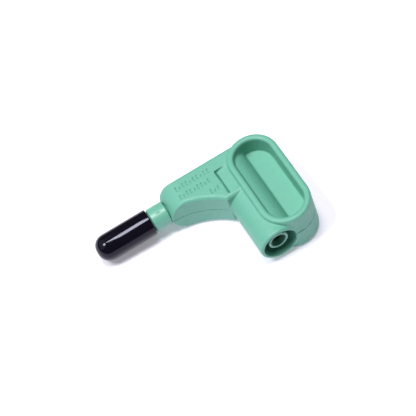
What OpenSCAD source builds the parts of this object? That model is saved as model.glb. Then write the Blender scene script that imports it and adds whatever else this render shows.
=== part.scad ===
// Right-angle adaptor: a shrouded 4 mm socket, a finger grip and a magnetic probe tip under a push-on cap.
// The socket's axis is Y with its mouth at the origin, facing -Y. The probe points along -X.
// The moulding is split on the plane z = 0 into an upper and a lower shell.

/* [Socket] */
// Distance from the socket's mouth to the probe's axis
reach = 28.3; // [28:0.1:34]
// Wall of the barrel round the socket's mouth
barrel_wall = 0.95; // [0.8:0.05:1.4]
// Width of the ring-shaped gap round the inner sleeve
gap_w = 2.05; // [1.8:0.05:2.2]
// Depth of the ring-shaped gap
gap_depth = 19.5; // [16:0.5:19.5]
// Thickness of the wall at the back of the gap
gap_back_t = 1.5; // [1:0.1:1.5]
// Rounding of the barrel's front edge
mouth_round = 0.6; // [0.2:0.05:0.7]
// Wall of the inner insulating sleeve, round the contact
sleeve_wall = 0.53; // [0.4:0.01:0.8]
// Depth of the sleeve's front face behind the mouth
sleeve_recess = 1.2; // [0.6:0.1:3]
// Distance that the lip at the sleeve's front stands back from the plug's pin
lip_gap = 0.25; // [0.1:0.05:0.4]
// Width of the step from the sleeve to the flange at its back
sleeve_flange_step = 1.3; // [1:0.1:1.5]
// Thickness of the flange at the sleeve's back
sleeve_flange_t = 1.5; // [1:0.1:2]

/* [Contact] */
// Bore of the contact tube
contact_bore_d = 4; // [3.9:0.01:4.1]
// Wall of the contact tube
contact_wall = 0.42; // [0.38:0.01:0.42]
// Depth of the contact's mouth behind the sleeve's front face
contact_recess = 2; // [1.2:0.1:3]
// Depth of the contact tube's bore
contact_depth = 16.5; // [14:0.5:16.5]
// Width of the slits that make the contact's four fingers
slit_w = 0.4; // [0.2:0.05:0.6]
// Length of the slits
slit_l = 11; // [6:0.5:13]
// Outer diameter of the contact's wire cup
cup_d = 2.4; // [2.2:0.1:2.8]
// Width of the spring ring round the contact's fingers
ring_w = 1.6; // [1:0.1:2.4]
// Thickness of the spring ring
ring_t = 0.2; // [0.15:0.01:0.22]

/* [Grip] */
// Width of the grip across its rim
grip_w = 15.3; // [14.6:0.1:17]
// Height of the grip over both rims
grip_h = 14.3; // [13.6:0.1:18]
// Thickness of the rim
rim_w = 2; // [1.6:0.1:2.4]
// Rounding of the rim's edges
rim_round = 0.8; // [0.3:0.1:0.8]
// Thickness of the web between the two finger recesses
web_t = 2.4; // [2:0.1:4]
// Distance that each recess narrows from its rim to its floor
recess_draft = 0.15; // [0:0.05:0.4]
// Distance from the socket's axis to the grip's centre line
grip_offset = 6.8; // [6.6:0.1:8]

/* [Arm] */
// Thickness of the arm
arm_t = 12.4; // [12.2:0.1:13.4]
// Distance from the socket's axis to the arm's rounded nose
nose_x = 21.6; // [20.5:0.1:28]
// Half the width of the nose, on the side nearer the socket's mouth
nose_near = 4; // [4:0.1:5]
// Half the width of the nose, on the far side, which is flush with the grip's far end
nose_far = 4.3; // [3.7:0.1:4.8]
// Radius of the arm's hollow near edge
hollow_r = 21.2; // [18:0.2:24]
// Distance from the socket's mouth to where the arm meets the barrel
arm_root = 17.6; // [15:0.1:19]
// Rounding of the arm's edges
arm_round = 1.2; // [0.4:0.1:1.6]
// Rounding of the nose's far corner, seen from above
nose_corner = 1.2; // [0.8:0.1:3]
// Length of the sloping notch beside the rim
notch_l = 8.8; // [4:0.1:10]
// Width of the notch
notch_w = 3.9; // [2:0.1:4.2]
// Depth of the notch at its deep side
notch_depth = 1.4; // [0.3:0.1:1.6]
// Depth of the rating marks
mark_depth = 0.3; // [0.1:0.05:0.4]

/* [Probe] */
// Step from the probe out to the collar between the arm and the cap
collar_step = 0.55; // [0.3:0.05:0.7]
// Length of the collar
collar_l = 5; // [3:0.1:10]
// Diameter of the probe under the cap
probe_d = 6.1; // [5.6:0.1:6.4]
// Length of the insulated part of the probe under the cap
probe_sleeve_l = 6.4; // [4:0.1:12]
// Diameter of the spigot that the shells hold
spigot_d = 4.8; // [4.2:0.1:5]
// Step from the spigot out to the flange at its back
flange_step = 0.6; // [0.4:0.05:0.8]
// Thickness of the flange at the back of the spigot
flange_t = 1.8; // [1:0.1:2.4]
// Diameter of the brass rod
rod_d = 2.5; // [2:0.1:2.8]

/* [Magnet] */
// Length of the magnet cup
magnet_cup_l = 8.5; // [6:0.1:14]
// Wall of the magnet cup
magnet_cup_wall = 0.6; // [0.4:0.05:0.8]
// Thickness of the magnet cup's floor
magnet_cup_floor = 2; // [1.5:0.1:3]
// Thickness of the contact disc in front of the magnet
disc_t = 1.1; // [0.8:0.1:2]
// Distance that the contact disc stands out of the cup
disc_proud = 0.3; // [0:0.05:0.6]

/* [Link] */
// Diameter of the link's stranded core
core_d = 1.2; // [1:0.05:1.4]
// Diameter over the link's insulation
insulation_d = 2.2; // [1.9:0.1:2.4]
// Radius of the link's bend
link_bend = 3.5; // [3.2:0.1:3.5]
// Length of each crimped ferrule
ferrule_l = 2; // [1.4:0.1:2.2]
// Wall of the ferrules
ferrule_wall = 0.15; // [0.1:0.01:0.2]
// Wall of the heat-shrink sleeves over the joints
shrink_wall = 0.22; // [0.15:0.01:0.3]

/* [Cap] */
// Wall of the push-on cap
cap_wall = 0.9; // [0.6:0.05:1.4]
// Room between the contact disc and the cap's closed end
cap_room = 0.5; // [0.3:0.1:4]
// Gap between the cap's mouth and the collar
cap_gap = 0.3; // [0.3:0.05:1]
// Thickness of the cap's closed end
cap_end_t = 2.1; // [1.8:0.1:2.4]
// Rounding of the cap's nose
cap_nose_r = 3.5; // [2:0.1:3.6]
// Rounding of the cap's mouth
cap_mouth_r = 0.35; // [0.1:0.05:0.4]

/* [Fits] */
// Clearance round every piece that the shells or the sleeve hold
seat_clear = 0.05; // [0.02:0.01:0.08]
// Radial clearance between the cap and the probe
cap_clear = 0.05; // [0.02:0.01:0.1]
// Diameter of the locating pins between the shells
pin_d = 1.8; // [1.4:0.1:2]
// Length of the locating pins
pin_l = 1.6; // [1:0.1:2.4]

/* [Hidden] */
$fn = 64;
over = 1;                                // how far a cutting shape runs past what it cuts

grip_r = grip_w / 2;
rim_inner_r = grip_r - rim_w;
rim_z = grip_h / 2;
web_z = web_t / 2;
arm_far = reach + nose_far;              // the grip's far end too
grip_run = arm_far - grip_w;             // between the centres of the grip's round ends

arm_z = arm_t / 2;
hollow_y = reach - nose_near - hollow_r; // centre of the hollow edge, level with the nose

contact_r = contact_bore_d / 2 + contact_wall;
sleeve_bore_r = contact_r + seat_clear;
sleeve_r = sleeve_bore_r + sleeve_wall;
sleeve_seat_r = sleeve_r + 0.2;          // where the sleeve passes through the wall behind the gap
sleeve_flange_r = sleeve_r + sleeve_flange_step;
lip_r = contact_bore_d / 2 + lip_gap;
mouth_r = sleeve_r + gap_w;
barrel_r = mouth_r + barrel_wall;
flange_front = gap_depth + gap_back_t;
sleeve_back = flange_front + sleeve_flange_t;
contact_front = sleeve_recess + contact_recess;
plug_t = 1.1;                            // length of the end plug behind the contact
contact_back = sleeve_back - plug_t;
cup_r = cup_d / 2;
ferrule_r = core_d / 2 + ferrule_wall;
cup_bore_r = ferrule_r + seat_clear;
cup_l = ferrule_l + 0.6;                 // depth of each wire cup: the ferrule and a little solder
bend_front = reach - link_bend;
cup_back = bend_front - 1.2;             // the link runs straight for this far before its bend
ring_y = contact_front + 2.2;            // where the spring ring sits on the fingers

rod_tail = link_bend + 3;                // where the link ends and the rod's cup begins, along -X
rod_flange_front = rod_tail + cup_l + 0.4;
rod_flange_t = 1;
spigot_back = rod_flange_front + rod_flange_t;
collar_front = nose_x + collar_l;
cup_start = collar_front + probe_sleeve_l;
cup_end = cup_start + magnet_cup_l;
probe_r = probe_d / 2;
collar_r = probe_r + collar_step;
spigot_r = spigot_d / 2;
flange_r = spigot_r + flange_step;
rod_r = rod_d / 2;
magnet_r = probe_r - magnet_cup_wall - seat_clear;
tip_x = cup_end + disc_proud;

cap_mouth = collar_front + cap_gap;
cap_bore_r = probe_r + cap_clear;
cap_r = cap_bore_r + cap_wall;
cap_l = tip_x + cap_room + cap_end_t - cap_mouth;
shrink_r = cup_r + seat_clear;

moulding_green = [0.45, 0.76, 0.65];
cap_black = [0.07, 0.07, 0.09];
brass = [0.78, 0.66, 0.38];
nickel = [0.75, 0.75, 0.74];
copper = [0.80, 0.45, 0.30];

// Lays a shape that is drawn along +Z down along the socket's axis, from its mouth inwards
module along_socket(y = 0) { translate([0, y, 0]) rotate([-90, 0, 0]) children(); }

// Lays a shape that is drawn along +Z down along the probe's axis, towards the tip
module along_probe(x = 0) { translate([-x, reach, 0]) rotate([0, -90, 0]) children(); }

// A tube from 0 up to length
module tube(outer_r, inner_r, length) {
    difference() {
        cylinder(h = length, r = outer_r);
        translate([0, 0, -over]) cylinder(h = length + 2 * over, r = inner_r);
    }
}

// Sweeps a half profile, drawn with its distance from the centre line as x, round the grip's obround
module obround() {
    translate([grip_offset, grip_r, 0]) rotate([0, 0, 180]) rotate_extrude(angle = 180) children();
    translate([grip_offset, grip_r + grip_run, 0]) rotate_extrude(angle = 180) children();
    translate([grip_offset, grip_r + grip_run, 0]) rotate([90, 0, 0]) linear_extrude(grip_run) {
        children();
        mirror([1, 0, 0]) children();
    }
}

// The grip's upper half, solid, with its outer edge rounded
module grip_profile() {
    square([grip_r, rim_z - rim_round]);
    square([grip_r - rim_round, rim_z]);
    translate([grip_r - rim_round, rim_z - rim_round]) circle(rim_round);
}

// What the finger recess takes out of that half, with the rim's inner edge left round
module recess_profile() {
    difference() {
        union() {
            polygon([[0, web_z], [rim_inner_r - recess_draft, web_z], [rim_inner_r, rim_z - rim_round],
                     [rim_inner_r, rim_z + over], [0, rim_z + over]]);
            translate([rim_inner_r, rim_z - rim_round]) square([rim_round, rim_round + over]);
        }
        translate([rim_inner_r + rim_round, rim_z - rim_round]) circle(rim_round);
    }
}

// A square corner less a quarter circle: the sliver that rounds an edge at the origin
module edge_sliver(r) {
    difference() {
        translate([-r, -r]) square([r + over, r + over]);
        translate([-r, -r]) circle(r);
        translate([-r - over, -r - over]) square([r + 2 * over, over]);
        translate([-r - over, -r - over]) square([over, r + 2 * over]);
    }
}

// How near the socket's mouth the arm's hollow edge comes, at a distance x to the tip's side of the socket
function near_edge(x) = hollow_y + sqrt(pow(hollow_r, 2) - pow(nose_x - x, 2));

// The arm seen from above. It runs a little past the nose, whose half round then ends it
module arm_plan() {
    end_x = -nose_x - 0.2;
    difference() {
        union() {
            translate([end_x, arm_root]) square([grip_offset - end_x, arm_far - nose_corner - arm_root]);
            translate([end_x + nose_corner, arm_root])
                square([grip_offset - end_x - nose_corner, arm_far - arm_root]);
            translate([end_x + nose_corner, arm_far - nose_corner]) circle(nose_corner);
        }
        translate([-nose_x, hollow_y]) circle(r = hollow_r, $fn = 128);
    }
}

// The arm's upper half: its nose is a half round on its side, and its long edges are rounded
module arm_half() {
    difference() {
        intersection() {
            linear_extrude(arm_z) arm_plan();
            translate([0, arm_far + over, 0]) rotate([90, 0, 0]) linear_extrude(arm_far + 2 * over) {
                translate([arm_z - nose_x, 0]) circle(arm_z);
                translate([arm_z - nose_x, 0]) square([nose_x + grip_offset, arm_z + over]);
            }
        }
        translate([-nose_x - over, arm_far, arm_z]) rotate([90, 0, 90])
            linear_extrude(nose_x + grip_offset + 2 * over) edge_sliver(arm_round);
        translate([-nose_x, hollow_y, arm_z]) rotate_extrude($fn = 128)
            translate([hollow_r, 0]) mirror([1, 0]) edge_sliver(arm_round);
        translate([-barrel_r, arm_root, arm_z]) rotate([90, 0, 90])
            linear_extrude(barrel_r + grip_offset) mirror([1, 0]) edge_sliver(arm_round);
    }
}

// The sloping notch in the arm's top, beside the rim
module notch() {
    rim_edge = grip_offset - grip_r;
    translate([rim_edge, arm_root + 1.5 + notch_l, 0]) rotate([90, 0, 0]) linear_extrude(notch_l)
        polygon([[0, arm_z], [0, arm_z + over], [-notch_w, arm_z + over], [-notch_w, arm_z - notch_depth]]);
}

// The barrel round the socket, with its front edge rounded
module barrel() {
    along_socket() rotate_extrude() {
        translate([0, mouth_round]) square([barrel_r, arm_far - 1.5 - mouth_round]);
        square([barrel_r - mouth_round, reach]);
        translate([barrel_r - mouth_round, mouth_round]) circle(mouth_round);
    }
}

// The spaces inside the moulding for the socket, the link and the probe's back end
module shell_cavities() {
    channel_r = sleeve_seat_r + seat_clear;
    along_socket(-over) cylinder(h = gap_depth + over, r = mouth_r);
    along_socket(gap_depth) cylinder(h = reach - gap_depth + channel_r, r = channel_r);
    along_socket(flange_front) cylinder(h = sleeve_flange_t, r = sleeve_flange_r + seat_clear);
    along_probe() cylinder(h = spigot_back, r = channel_r - 0.1);
    along_probe(spigot_back) cylinder(h = flange_t, r = flange_r + seat_clear);
    along_probe(spigot_back) cylinder(h = nose_x, r = spigot_r + seat_clear);
}

// Where the shells locate on each other: two places between the arm's hollow edge and the link, one in the web
module pin_places() {
    link_edge = reach - sleeve_seat_r;
    for (x = [nose_x * 0.55, barrel_r + 1.3])
        translate([-x, (near_edge(x) + link_edge) / 2, 0]) children();
    translate([grip_offset + rim_inner_r - 1.8, arm_far / 2, 0]) children();
}

module half_moulding() {
    difference() {
        union() {
            difference() {
                union() {
                    obround() grip_profile();
                    arm_half();
                }
                obround() recess_profile();
                notch();
            }
            intersection() {
                barrel();
                translate([-2 * barrel_r, -over, 0]) cube([4 * barrel_r, arm_far + 2 * over, 2 * barrel_r]);
            }
        }
        shell_cavities();
    }
}

// Short sunk bars in three rows, where such a moulding carries its rating
module rating_marks() {
    bar_w = 0.45;
    bar_l = 1.6;
    pitch = 1.15;
    rows = [[5 - nose_x, 0.1, 10], [4.9 - nose_x, -2.9, 9], [-barrel_r - 2.6, -6.6, 3]];
    for (row = rows, i = [0 : row[2] - 1])
        translate([row[0] + i * pitch, reach + row[1], arm_z - mark_depth])
            cube([bar_w, bar_l * (i % 3 == 1 ? 0.6 : 1), mark_depth + over]);
}

module upper_shell() {
    color(moulding_green) difference() {
        half_moulding();
        rating_marks();
        pin_places() translate([0, 0, -over])
            cylinder(h = min(pin_l + 0.2, web_z - 0.3) + over, r = pin_d / 2 + seat_clear);
    }
}

module lower_shell() {
    color(moulding_green) {
        mirror([0, 0, 1]) half_moulding();
        pin_places() translate([0, 0, -web_z / 2])
            cylinder(h = web_z / 2 + min(pin_l, web_z - 0.5), r = pin_d / 2);
    }
}

// Green sleeve inside the barrel: a thin lip at the front holds the contact, a flange at the back is held
module socket_sleeve() {
    color(moulding_green) along_socket() rotate_extrude() difference() {
        union() {
            translate([0, sleeve_recess]) square([sleeve_r, gap_depth - sleeve_recess]);
            translate([0, gap_depth]) square([sleeve_seat_r, sleeve_back - gap_depth]);
            translate([0, flange_front]) square([sleeve_flange_r, sleeve_flange_t]);
        }
        square([lip_r, sleeve_back + over]);
        translate([0, contact_front]) square([sleeve_bore_r, sleeve_back]);
    }
}

// Turned brass contact: a slotted tube with a ring groove, a solid back and a cup for the wire
module socket_contact() {
    color(nickel) difference() {
        union() {
            along_socket(contact_front) cylinder(h = contact_back - contact_front, r = contact_r);
            along_socket(contact_back) cylinder(h = cup_back - contact_back, r = cup_r);
        }
        along_socket(contact_front - over) cylinder(h = contact_depth + over, r = contact_bore_d / 2);
        along_socket(cup_back - cup_l) cylinder(h = cup_l + over, r = cup_bore_r);
        along_socket(ring_y - seat_clear) tube(contact_r + over, contact_r - ring_t, ring_w + 2 * seat_clear);
        for (turn = [0, 90]) along_socket(contact_front - over) rotate([0, 0, turn])
            translate([-contact_r - over, -slit_w / 2, 0]) cube([2 * (contact_r + over), slit_w, slit_l + over]);
    }
}

// Open spring-steel ring that squeezes the contact's fingers together
module contact_spring_ring() {
    color(nickel) difference() {
        along_socket(ring_y) tube(contact_r, contact_r - ring_t, ring_w);
        along_socket(ring_y - over) rotate([0, 0, 45]) translate([0, -slit_w, 0])
            cube([contact_r + over, 2 * slit_w, ring_w + 2 * over]);
    }
}

// Ring pressed in behind the contact, so that it can't be pushed back
module socket_end_plug() {
    color(moulding_green) along_socket(contact_back) tube(sleeve_bore_r, shrink_r, plug_t);
}

// Stranded copper from the socket's cup round the bend to the probe's cup
module link_core() {
    color(copper) link_run(core_d / 2, ferrule_l);
}

// A round wire along the link's route, running on past both ends of its insulation
module link_run(r, bare) {
    along_socket(cup_back - bare) cylinder(h = bend_front - cup_back + bare, r = r);
    translate([-link_bend, bend_front, 0]) rotate_extrude(angle = 90) translate([link_bend, 0]) circle(r);
    along_probe(link_bend) cylinder(h = rod_tail - link_bend + bare, r = r);
}

module link_insulation() {
    color("white") difference() {
        link_run(insulation_d / 2, 0);
        link_run(core_d / 2, over);
    }
}

module socket_ferrule() {
    color(nickel) along_socket(cup_back - ferrule_l) tube(ferrule_r, core_d / 2, ferrule_l);
}

module probe_ferrule() {
    color(nickel) along_probe(rod_tail) tube(ferrule_r, core_d / 2, ferrule_l);
}

module socket_heat_shrink() {
    color("dimgray") along_socket(sleeve_back) tube(shrink_r + shrink_wall, shrink_r, bend_front - sleeve_back);
}

module probe_heat_shrink() {
    length = rod_flange_front - link_bend - 1;
    color("dimgray") along_probe(link_bend + 1) tube(shrink_r + shrink_wall, shrink_r, length);
}

// Brass rod: a cup for the wire, a flange behind the nose sleeve, and a front end fixed in the magnet cup
module probe_rod() {
    color(brass) difference() {
        union() {
            along_probe(rod_tail) cylinder(h = rod_flange_front - rod_tail, r = cup_r);
            along_probe(rod_flange_front) cylinder(h = rod_flange_t, r = spigot_r);
            along_probe(spigot_back) cylinder(h = cup_start + magnet_cup_floor - spigot_back, r = rod_r);
        }
        along_probe(rod_tail - over) cylinder(h = cup_l + over, r = cup_bore_r);
    }
}

// Green nose sleeve: flange and spigot in the arm, the collar, and a slimmer front under the cap
module nose_sleeve() {
    mark_w = 1.2;
    mark_foot = collar_r - 1;
    color(moulding_green) {
        along_probe() rotate_extrude() difference() {
            union() {
                translate([0, spigot_back]) square([flange_r, flange_t]);
                translate([0, spigot_back]) square([spigot_r, nose_x - spigot_back]);
                translate([0, nose_x]) square([collar_r, collar_l]);
                translate([0, collar_front]) square([probe_r, probe_sleeve_l]);
            }
            square([rod_r + seat_clear, cup_start + over]);
        }
        for (place = [-0.9, 0.9]) translate([-nose_x - collar_l / 2 - mark_w / 2, reach + place - 0.25, mark_foot])
            cube([mark_w, 0.5, sqrt(pow(collar_r, 2) - pow(place, 2)) + 0.15 - mark_foot]);
    }
}

// Nickel-plated steel cup that carries the magnet
module magnet_cup() {
    color(nickel) along_probe(cup_start) difference() {
        cylinder(h = magnet_cup_l, r = probe_r);
        translate([0, 0, -over]) cylinder(h = magnet_cup_floor + 2 * over, r = rod_r);
        translate([0, 0, magnet_cup_floor]) cylinder(h = magnet_cup_l, r = probe_r - magnet_cup_wall);
    }
}

module tip_magnet() {
    color("silver") along_probe(cup_start + magnet_cup_floor)
        cylinder(h = tip_x - disc_t - cup_start - magnet_cup_floor, r = magnet_r);
}

// Gold-coloured disc that touches the screw head
module contact_disc() {
    color(brass) along_probe(tip_x - disc_t) cylinder(h = disc_t, r = magnet_r);
}

// Dip-moulded vinyl cap with a round nose and a round mouth edge
module tip_cap() {
    color(cap_black) along_probe(cap_mouth) rotate_extrude() difference() {
        union() {
            translate([0, cap_mouth_r]) square([cap_r, cap_l - cap_nose_r - cap_mouth_r]);
            square([cap_r - cap_mouth_r, cap_l - cap_nose_r]);
            square([cap_r - cap_nose_r, cap_l]);
            translate([cap_r - cap_mouth_r, cap_mouth_r]) circle(cap_mouth_r);
            intersection() {
                translate([cap_r - cap_nose_r, cap_l - cap_nose_r]) circle(cap_nose_r);
                translate([0, cap_l - cap_nose_r]) square([cap_r, cap_nose_r]);
            }
        }
        translate([0, -over]) square([cap_bore_r, cap_l - cap_end_t + over]);
    }
}

upper_shell();
lower_shell();
socket_sleeve();
socket_contact();
contact_spring_ring();
socket_end_plug();
link_core();
link_insulation();
socket_ferrule();
probe_ferrule();
socket_heat_shrink();
probe_heat_shrink();
probe_rod();
nose_sleeve();
magnet_cup();
tip_magnet();
contact_disc();
tip_cap();
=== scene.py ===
import math

import bmesh
import bpy
from mathutils import Matrix, Vector


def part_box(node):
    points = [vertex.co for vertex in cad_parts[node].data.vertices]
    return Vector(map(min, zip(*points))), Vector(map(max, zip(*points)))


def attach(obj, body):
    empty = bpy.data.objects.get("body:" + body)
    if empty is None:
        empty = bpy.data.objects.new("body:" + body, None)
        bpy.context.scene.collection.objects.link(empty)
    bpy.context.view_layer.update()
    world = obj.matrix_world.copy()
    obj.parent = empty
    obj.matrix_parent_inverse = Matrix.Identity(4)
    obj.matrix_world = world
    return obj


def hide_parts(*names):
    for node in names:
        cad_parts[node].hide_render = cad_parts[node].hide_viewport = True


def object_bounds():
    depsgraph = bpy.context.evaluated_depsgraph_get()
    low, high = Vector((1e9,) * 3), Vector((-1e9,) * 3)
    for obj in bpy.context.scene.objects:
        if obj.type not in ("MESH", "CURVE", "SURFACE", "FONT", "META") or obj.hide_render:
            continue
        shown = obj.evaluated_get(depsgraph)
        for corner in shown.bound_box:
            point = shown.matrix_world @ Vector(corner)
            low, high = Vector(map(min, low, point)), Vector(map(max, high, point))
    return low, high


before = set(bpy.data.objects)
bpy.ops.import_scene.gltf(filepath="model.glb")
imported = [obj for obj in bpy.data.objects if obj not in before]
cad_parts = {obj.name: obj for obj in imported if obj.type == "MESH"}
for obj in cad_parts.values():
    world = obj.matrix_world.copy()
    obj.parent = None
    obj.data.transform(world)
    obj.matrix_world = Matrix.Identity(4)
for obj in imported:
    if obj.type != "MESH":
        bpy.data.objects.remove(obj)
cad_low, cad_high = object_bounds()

# ---------------------------------------------------------------------------------------------
# Green moulding
# Two half shells of glass-filled nylon, injection moulded with a fine spark-eroded texture and
# welded together along the middle. The mould leaves every edge and inside corner a little round.
# ---------------------------------------------------------------------------------------------

MM = 0.001


def start_material(name):
    """A new material, its node tree and its one Principled shader."""
    material = bpy.data.materials.new(name)
    material.use_nodes = True
    tree = material.node_tree
    return material, tree, tree.nodes["Principled BSDF"]


def grain(tree, scale, detail):
    """Noise that is fixed to the piece, with about this many features to the metre."""
    place = tree.nodes.new("ShaderNodeTexCoord")
    noise = tree.nodes.new("ShaderNodeTexNoise")
    noise.inputs["Scale"].default_value = scale
    noise.inputs["Detail"].default_value = detail
    tree.links.new(place.outputs["Object"], noise.inputs["Vector"])
    return noise.outputs["Fac"]


def vary_roughness(tree, shader, smoothest, roughest, scale):
    """Uneven gloss: the roughness drifts between two values."""
    drift = tree.nodes.new("ShaderNodeMapRange")
    drift.inputs["From Min"].default_value = 0.3
    drift.inputs["From Max"].default_value = 0.7
    drift.inputs["To Min"].default_value = smoothest
    drift.inputs["To Max"].default_value = roughest
    tree.links.new(grain(tree, scale, 4), drift.inputs["Value"])
    tree.links.new(drift.outputs["Result"], shader.inputs["Roughness"])


def vary_colour(tree, shader, first, second, scale):
    """The colour drifts softly from one to the other."""
    mix = tree.nodes.new("ShaderNodeMix")
    mix.data_type = "RGBA"
    mix.inputs["A"].default_value = (*first, 1)
    mix.inputs["B"].default_value = (*second, 1)
    tree.links.new(grain(tree, scale, 3), mix.inputs["Factor"])
    tree.links.new(mix.outputs["Result"], shader.inputs["Base Color"])


def roughen(tree, shader, scale, strength, depth):
    """A fine texture raised on the surface."""
    bump = tree.nodes.new("ShaderNodeBump")
    bump.inputs["Strength"].default_value = strength
    bump.inputs["Distance"].default_value = depth
    tree.links.new(grain(tree, scale, 2), bump.inputs["Height"])
    tree.links.new(bump.outputs["Normal"], shader.inputs["Normal"])


green_moulding, tree, shader = start_material("green_moulding")
shader.inputs["Specular IOR Level"].default_value = 0.5
vary_colour(tree, shader, (0.128, 0.41, 0.305), (0.148, 0.445, 0.333), 600)
vary_roughness(tree, shader, 0.42, 0.56, 260)
roughen(tree, shader, 1700, 0.7, 0.11 * MM)


def finish_piece(mesh_data, name, material, node=None, body="adaptor"):
    """Puts a mesh in the scene as a smooth piece that rides on a body and stands for a CAD node."""
    piece = bpy.data.objects.new(name, mesh_data)
    bpy.context.scene.collection.objects.link(piece)
    piece.data.materials.clear()
    piece.data.materials.append(material)
    for face in piece.data.polygons:
        face.use_smooth = True
    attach(piece, body)
    if node:
        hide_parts(node)
    return piece


def soften(node):
    """A merged copy of a CAD shell, remeshed and smoothed so that its edges turn round."""
    weld_distance = 0.0005 * MM
    copy = bpy.data.objects.new(node + "_copy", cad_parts[node].data.copy())
    bpy.context.scene.collection.objects.link(copy)
    shell = bmesh.new()
    shell.from_mesh(copy.data)
    bmesh.ops.remove_doubles(shell, verts=shell.verts, dist=weld_distance)
    shell.to_mesh(copy.data)
    shell.free()
    remesh = copy.modifiers.new("remesh", "REMESH")
    remesh.mode = "VOXEL"
    remesh.voxel_size = 0.2 * MM
    smooth = copy.modifiers.new("smooth", "SMOOTH")
    smooth.factor = 0.5
    smooth.iterations = 2
    graph = bpy.context.evaluated_depsgraph_get()
    softened = bpy.data.meshes.new_from_object(copy.evaluated_get(graph))
    bpy.data.objects.remove(copy)
    return softened


finish_piece(soften("lower_shell"), "lower_moulding", green_moulding, "lower_shell")

# ---------------------------------------------------------------------------------------------
# Rating marks and notch groove
# Short bars are sunk in three rows into the top of the arm, in place of the rating that such a
# moulding carries, and a groove runs along the notch's deep edge. Ribs in the mould form them
# all, so they stay crisp, and they are cut after the shell is softened.
# ---------------------------------------------------------------------------------------------

arm_top = 6.2 * MM
mark_depth = 0.3 * MM
mark_width = 0.45 * MM
mark_pitch = 1.15 * MM
long_mark, short_mark = 1.6 * MM, 0.96 * MM
mark_rows = [(-16.6, 28.4, 10), (-16.7, 25.4, 9), (-8.6, 21.7, 3)]  # start x, start y, how many
groove_size = Vector((0.7, 8.4, 2.8)) * MM
groove_middle = Vector((-4.4, 23.5, 5)) * MM


def add_block(mesh, size, middle):
    """Adds a box of one size to a mesh, with its middle at one place."""
    corners = bmesh.ops.create_cube(mesh, size=1)["verts"]
    bmesh.ops.scale(mesh, verts=corners, vec=size)
    bmesh.ops.translate(mesh, verts=corners, vec=middle)


def store_mesh(mesh, name):
    """Turns the edited mesh into mesh data with a name."""
    data = bpy.data.meshes.new(name)
    mesh.to_mesh(data)
    mesh.free()
    return data


cutting_blocks = bmesh.new()
for start_x, start_y, count in mark_rows:
    for place in range(count):
        length = short_mark if place % 3 == 1 else long_mark
        corner = Vector((start_x * MM + place * mark_pitch, start_y * MM, arm_top))
        add_block(cutting_blocks, (mark_width, length, 2 * mark_depth),
                  corner + Vector((mark_width / 2, length / 2, 0)))
add_block(cutting_blocks, groove_size, groove_middle)
cutter = bpy.data.objects.new("mark_cutter", store_mesh(cutting_blocks, "mark_cutter"))
bpy.context.scene.collection.objects.link(cutter)
uncut = bpy.data.objects.new("uncut_shell", soften("upper_shell"))
bpy.context.scene.collection.objects.link(uncut)
cut = uncut.modifiers.new("cut", "BOOLEAN")
cut.operation = "DIFFERENCE"
cut.solver = "EXACT"
cut.object = cutter
graph = bpy.context.evaluated_depsgraph_get()
marked_shell = bpy.data.meshes.new_from_object(uncut.evaluated_get(graph))
bpy.data.objects.remove(uncut)
bpy.data.objects.remove(cutter)
finish_piece(marked_shell, "upper_moulding", green_moulding, "upper_shell")

# ---------------------------------------------------------------------------------------------
# Socket sleeve and end plug
# The sleeve is a separate green moulding that insulates the contact inside the barrel. It is
# smoother than the shells. The plug is a ring pressed in behind the contact.
# ---------------------------------------------------------------------------------------------

green_insulator, tree, shader = start_material("green_insulator")
shader.inputs["Specular IOR Level"].default_value = 0.6
vary_colour(tree, shader, (0.142, 0.425, 0.317), (0.167, 0.458, 0.35), 180)
vary_roughness(tree, shader, 0.3, 0.42, 500)
roughen(tree, shader, 3200, 0.15, 0.03 * MM)


def rounded(corners, steps=6):
    """An outline through (distance, radius, rounding) corners, with an arc at each rounded one."""
    outline = []
    for index, (distance, radius, rounding) in enumerate(corners):
        corner = Vector((distance, radius))
        if rounding == 0:
            outline.append(corner)
            continue
        before = (Vector(corners[index - 1][:2]) - corner).normalized()
        after = (Vector(corners[(index + 1) % len(corners)][:2]) - corner).normalized()
        half_angle = before.angle(after) / 2
        middle = corner + (before + after).normalized() * rounding / math.sin(half_angle)
        first = corner + before * rounding / math.tan(half_angle) - middle
        last = corner + after * rounding / math.tan(half_angle) - middle
        sweep = first.angle_signed(last)
        for step in range(steps + 1):
            outline.append(middle + Matrix.Rotation(-sweep * step / steps, 2) @ first)
    return outline


def turned(name, corners, start, along, steps=96):
    """Spins a closed outline, in mm from start, round the axis that leaves start along a direction."""
    seam_distance, sliver_distance = 0.001 * MM, 0.0005 * MM
    lathe = bmesh.new()
    side = Vector((0, 0, 1))
    ring = [lathe.verts.new(start + (along * spot.x + side * spot.y) * MM) for spot in rounded(corners)]
    edges = [lathe.edges.new((ring[index - 1], ring[index])) for index in range(len(ring))]
    bmesh.ops.spin(lathe, geom=ring + edges, cent=start, axis=along, angle=2 * math.pi, steps=steps,
                   use_merge=True)
    bmesh.ops.remove_doubles(lathe, verts=lathe.verts, dist=seam_distance)
    bmesh.ops.dissolve_degenerate(lathe, edges=lathe.edges, dist=sliver_distance)
    bmesh.ops.recalc_face_normals(lathe, faces=lathe.faces)
    return store_mesh(lathe, name)


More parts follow.
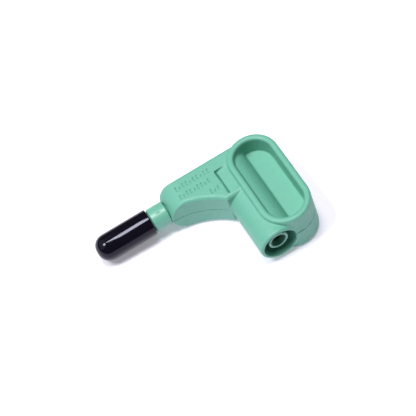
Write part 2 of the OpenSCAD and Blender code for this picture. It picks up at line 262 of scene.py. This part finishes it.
inwards = Vector((0, 1, 0))
sleeve_low, sleeve_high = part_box("socket_sleeve")
sleeve_front = Vector((0, sleeve_low.y, 0))
sleeve_length = (sleeve_high.y - sleeve_low.y) / MM
flange_radius = sleeve_high.x / MM
flange_thickness, seat_thickness = 1.5, 1.5
lip_radius, lip_depth = 2.25, 2
contact_seat_radius = 2.47
sleeve_radius, seat_radius = 3, 3.2
flange_start = sleeve_length - flange_thickness
seat_start = flange_start - seat_thickness
lip_inner_rounding, lip_outer_rounding, flange_rounding = 0.25, 0.2, 0.15
sleeve_corners = [(0, lip_radius, lip_inner_rounding), (0, sleeve_radius, lip_outer_rounding),
                  (seat_start, sleeve_radius, 0), (seat_start, seat_radius, 0),
                  (flange_start, seat_radius, 0), (flange_start, flange_radius, flange_rounding),
                  (sleeve_length, flange_radius, flange_rounding), (sleeve_length, contact_seat_radius, 0),
                  (lip_depth, contact_seat_radius, 0), (lip_depth, lip_radius, 0)]
finish_piece(turned("socket_sleeve_turned", sleeve_corners, sleeve_front, inwards),
             "socket_insulating_sleeve", green_insulator, "socket_sleeve")


def dress(node, material):
    """Gives a CAD node its finish."""
    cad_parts[node].data.materials.clear()
    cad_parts[node].data.materials.append(material)


dress("socket_end_plug", green_insulator)

# ---------------------------------------------------------------------------------------------
# Contact and its spring ring
# A slotted brass tube with bright nickel plating grips the plug's pin. An open ring of plain
# spring steel sits in a groove round its four fingers and squeezes them together.
# ---------------------------------------------------------------------------------------------


def plated_metal(name, colour, smoothest, roughest, scratches):
    """Metal with a slight drift in tone, uneven polish and fine tool marks."""
    material, tree, shader = start_material(name)
    shader.inputs["Metallic"].default_value = 1
    dulled = 0.85
    vary_colour(tree, shader, tuple(dulled * part for part in colour), colour, 700)
    vary_roughness(tree, shader, smoothest, roughest, 1200)
    roughen(tree, shader, 5000, scratches, 0.001 * MM)
    return material


nickel_plating = plated_metal("nickel_plating", (0.66, 0.64, 0.60), 0.16, 0.3, 0.3)
dress("socket_contact", nickel_plating)
dress("contact_spring_ring", plated_metal("spring_steel", (0.45, 0.46, 0.48), 0.28, 0.42, 0.4))

# ---------------------------------------------------------------------------------------------
# Link wire
# Stranded copper in a pale silicone jacket runs round the corner inside the shells. Each end is
# crimped in a tinned ferrule, soldered into its cup and covered by a black shrunk sleeve.
# ---------------------------------------------------------------------------------------------

dress("link_core", plated_metal("stranded_copper", (0.72, 0.36, 0.22), 0.3, 0.45, 0.6))
silicone_jacket, tree, shader = start_material("silicone_jacket")
vary_colour(tree, shader, (0.66, 0.66, 0.64), (0.74, 0.74, 0.72), 200)
vary_roughness(tree, shader, 0.45, 0.6, 400)
roughen(tree, shader, 2500, 0.15, 0.02 * MM)
dress("link_insulation", silicone_jacket)
tin_plating = plated_metal("tin_plating", (0.70, 0.70, 0.71), 0.35, 0.5, 0.4)
heat_shrink, tree, shader = start_material("heat_shrink")
vary_colour(tree, shader, (0.035, 0.035, 0.035), (0.055, 0.055, 0.055), 300)
vary_roughness(tree, shader, 0.42, 0.58, 500)
roughen(tree, shader, 1500, 0.3, 0.04 * MM)
for end in ("socket", "probe"):
    dress(end + "_ferrule", tin_plating)
    dress(end + "_heat_shrink", heat_shrink)

# ---------------------------------------------------------------------------------------------
# Probe rod and nose sleeve
# A turned brass rod carries the current to the tip. A green nylon sleeve is moulded over it: a
# spigot held by the shells, the collar that shows, and a slimmer front that the cap slides on.
# ---------------------------------------------------------------------------------------------

dress("probe_rod", plated_metal("turned_brass", (0.78, 0.60, 0.27), 0.2, 0.34, 0.4))

towards_tip = Vector((-1, 0, 0))
sleeve_low, sleeve_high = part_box("nose_sleeve")
probe_line = (sleeve_low.y + sleeve_high.y) / 2
nose_sleeve_back = Vector((sleeve_high.x, probe_line, 0))
front_length, collar_length = 6.4, 5
nose_sleeve_length = (sleeve_high.x - sleeve_low.x) / MM
collar_start = nose_sleeve_length - front_length - collar_length
collar_radius, front_radius, spigot_radius = 3.6, 3.05, 2.4
nose_flange_radius, nose_flange_thickness, rod_hole_radius = 3, 1.8, 1.3
collar_end = collar_start + collar_length
small_rounding, collar_rounding = 0.1, 0.3
nose_sleeve_corners = [(0, rod_hole_radius, 0), (0, nose_flange_radius, small_rounding),
                       (nose_flange_thickness, nose_flange_radius, small_rounding),
                       (nose_flange_thickness, spigot_radius, 0), (collar_start, spigot_radius, 0),
                       (collar_start, collar_radius, collar_rounding),
                       (collar_end, collar_radius, collar_rounding), (collar_end, front_radius, 0),
                       (nose_sleeve_length, front_radius, small_rounding),
                       (nose_sleeve_length, rod_hole_radius, 0)]
finish_piece(turned("nose_sleeve_turned", nose_sleeve_corners, nose_sleeve_back, towards_tip),
             "nose_collar_sleeve", green_insulator, "nose_sleeve")

# Two small raised bars on top of the collar, in place of the mark that it carries
collar_middle = sleeve_low.x + (front_length + collar_length / 2) * MM
collar_mark_size = Vector((1.2, 0.5, 0.8)) * MM
collar_mark_offset = 0.9 * MM
collar_mark_sunk = 0.25 * MM
collar_mark_rounding = 0.07 * MM
collar_marks = bmesh.new()
for offset in (-collar_mark_offset, collar_mark_offset):
    surface = math.sqrt((collar_radius * MM) ** 2 - offset ** 2)
    add_block(collar_marks, collar_mark_size,
              (collar_middle, probe_line + offset, surface - collar_mark_sunk))
bmesh.ops.bevel(collar_marks, geom=collar_marks.edges[:], offset=collar_mark_rounding,
                offset_type="OFFSET", segments=2, profile=0.5, affect="EDGES", material=-1)
finish_piece(store_mesh(collar_marks, "collar_marks"), "collar_marks", green_insulator)

# ---------------------------------------------------------------------------------------------
# Magnet cup, magnet and contact disc
# A nickel-plated steel cup on the rod's end holds a round magnet. A gold-flashed disc in front
# of the magnet touches the screw head. All three are pressed together and hidden by the cap.
# ---------------------------------------------------------------------------------------------

cup_low, cup_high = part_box("magnet_cup")
cup_start = Vector((cup_high.x, probe_line, 0))
cup_length = (cup_high.x - cup_low.x) / MM
cup_radius, cup_bore_radius, cup_floor, rod_radius = 3.05, 2.45, 2, 1.25
cup_rim_rounding = 0.25
cup_corners = [(0, rod_radius, 0), (0, cup_radius, small_rounding),
               (cup_length, cup_radius, cup_rim_rounding),
               (cup_length, cup_bore_radius, small_rounding),
               (cup_floor, cup_bore_radius, 0), (cup_floor, rod_radius, 0)]
finish_piece(turned("magnet_cup_turned", cup_corners, cup_start, towards_tip), "magnet_steel_cup",
             nickel_plating, "magnet_cup")
dress("tip_magnet", plated_metal("magnet_nickel", (0.62, 0.62, 0.63), 0.12, 0.22, 0.2))

disc_low, disc_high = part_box("contact_disc")
disc_start = Vector((disc_high.x, probe_line, 0))
disc_thickness = (disc_high.x - disc_low.x) / MM
disc_radius = disc_high.z / MM
disc_rounding = 0.12
disc_corners = [(0, 0, 0), (0, disc_radius, 0), (disc_thickness, disc_radius, disc_rounding),
                (disc_thickness, 0, 0)]
gold_plating = plated_metal("gold_plating", (0.86, 0.68, 0.30), 0.14, 0.26, 0.3)
finish_piece(turned("contact_disc_turned", disc_corners, disc_start, towards_tip), "gold_contact_disc",
             gold_plating, "contact_disc")

# ---------------------------------------------------------------------------------------------
# Tip cap
# Glossy black vinyl, dip moulded on a round rod, so its nose and its mouth's edge are smooth
# curves. It is pushed over the magnet up to the collar and pulls off along the probe.
# ---------------------------------------------------------------------------------------------

black_vinyl, tree, shader = start_material("black_vinyl")
shader.inputs["Specular IOR Level"].default_value = 0.32
shader.inputs["Specular Tint"].default_value = (0.8, 0.82, 1, 1)
vary_colour(tree, shader, (0.003, 0.003, 0.006), (0.006, 0.005, 0.011), 150)
vary_roughness(tree, shader, 0.05, 0.1, 300)
roughen(tree, shader, 220, 0.02, 0.05 * MM)

cap_low, cap_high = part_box("tip_cap")
cap_mouth = Vector((cap_high.x, probe_line, 0))
cap_length = (cap_high.x - cap_low.x) / MM
cap_radius = cap_high.z / MM
cap_bore_radius, cap_end_thickness = 3.1, 2.1
cap_inner_rounding, cap_mouth_rounding, cap_nose_rounding = 0.12, 0.35, 3.5
cap_end = cap_length - cap_end_thickness
cap_corners = [(0, cap_bore_radius, cap_inner_rounding), (0, cap_radius, cap_mouth_rounding),
               (cap_length, cap_radius, cap_nose_rounding), (cap_length, 0, 0), (cap_end, 0, 0),
               (cap_end, cap_bore_radius, 0)]
finish_piece(turned("tip_cap_turned", cap_corners, cap_mouth, towards_tip, steps=128), "tip_cap_vinyl",
             black_vinyl, "tip_cap", "cap")

# ---------------------------------------------------------------------------------------------
# Floor
# A plain sheet of white acrylic with a little light of its own, so that it stays white. The
# adaptor rests on its lower rim and on the cap, so the sheet is tilted about that rim to meet both.
# ---------------------------------------------------------------------------------------------

rest_tilt = math.radians(3)
grip_width = 15.3 * MM
rim_left_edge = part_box("upper_shell")[1].x - grip_width
half_sheet = 2
sheet = bmesh.new()
bmesh.ops.create_grid(sheet, x_segments=1, y_segments=1, size=half_sheet)
bmesh.ops.rotate(sheet, verts=sheet.verts, cent=(0, 0, 0), matrix=Matrix.Rotation(rest_tilt, 3, "Y"))
bmesh.ops.translate(sheet, verts=sheet.verts, vec=(rim_left_edge, 0, cad_low.z))
floor_mesh = store_mesh(sheet, "floor")
white_acrylic, tree, shader = start_material("white_acrylic")
shader.inputs["Base Color"].default_value = (0.90, 0.86, 0.97, 1)
shader.inputs["Roughness"].default_value = 0.45
shader.inputs["Specular IOR Level"].default_value = 0.2
shader.inputs["Emission Color"].default_value = (0.95, 0.93, 1, 1)
shader.inputs["Emission Strength"].default_value = 0.27
floor_mesh.materials.append(white_acrylic)
floor = bpy.data.objects.new("floor", floor_mesh)
bpy.context.scene.collection.objects.link(floor)

# ---------------------------------------------------------------------------------------------
# Lights
# An overhead softbox makes the streak along the cap and a small lamp to its left makes the bright
# dot on the cap's nose. A large dim sheet of diffuser and the room's own light fill the rest.
# ---------------------------------------------------------------------------------------------


def softbox(name, towards, distance, width, height, power):
    """A rectangular light that faces the object from one direction."""
    light = bpy.data.lights.new(name, "AREA")
    light.shape = "RECTANGLE"
    light.size = width
    light.size_y = height
    light.energy = power
    lamp = bpy.data.objects.new(name, light)
    bpy.context.scene.collection.objects.link(lamp)
    direction = Vector(towards).normalized()
    lamp.location = (cad_low + cad_high) / 2 + direction * distance
    lamp.rotation_mode = "QUATERNION"
    lamp.rotation_quaternion = direction.to_track_quat("Z", "Y")


softbox("overhead_softbox", (0.045, 0.013, 1), 0.9, 0.35, 0.25, 5.9)
softbox("small_lamp", (-0.40, 0.06, 0.91), 0.9, 0.25, 0.25, 4.4)
softbox("large_diffuser", (-0.62, 0.3, 0.72), 1.5, 2.0, 1.4, 4.5)

room = bpy.data.worlds.new("room")
bpy.context.scene.world = room
room.use_nodes = True
room.node_tree.nodes["Background"].inputs["Color"].default_value = (0.92, 0.93, 1, 1)
room.node_tree.nodes["Background"].inputs["Strength"].default_value = 0.05

# ---------------------------------------------------------------------------------------------
# Camera
# A long lens half a metre away looks down on the part from in front of the socket, with the
# picture turned so that the probe points down to the left.
# ---------------------------------------------------------------------------------------------

azimuth, elevation, roll = math.radians(-11.35), math.radians(55.9), math.radians(-21.37)
eye_distance = 0.5
to_eye = Vector((math.sin(azimuth) * math.cos(elevation), -math.cos(azimuth) * math.cos(elevation),
                 math.sin(elevation)))
level = Vector((math.cos(azimuth), math.sin(azimuth), 0))
eye = Vector((0, probe_line, 0)) + to_eye * eye_distance
aim = Vector((-10.79, 24.79, -3.77)) * MM
turned_up = math.cos(roll) * to_eye.cross(level) - math.sin(roll) * level
backward = (eye - aim).normalized()
rightward = turned_up.cross(backward).normalized()
upward = backward.cross(rightward)
camera = bpy.data.objects.new("camera", bpy.data.cameras.new("camera"))
bpy.context.scene.collection.objects.link(camera)
camera.matrix_world = Matrix.Translation(eye) @ Matrix((rightward, upward, backward)).transposed().to_4x4()
camera.data.sensor_width = 36
camera.data.lens = 151.9
camera.data.clip_start = 0.01
bpy.context.scene.camera = camera
bpy.context.scene.view_settings.view_transform = "Standard"
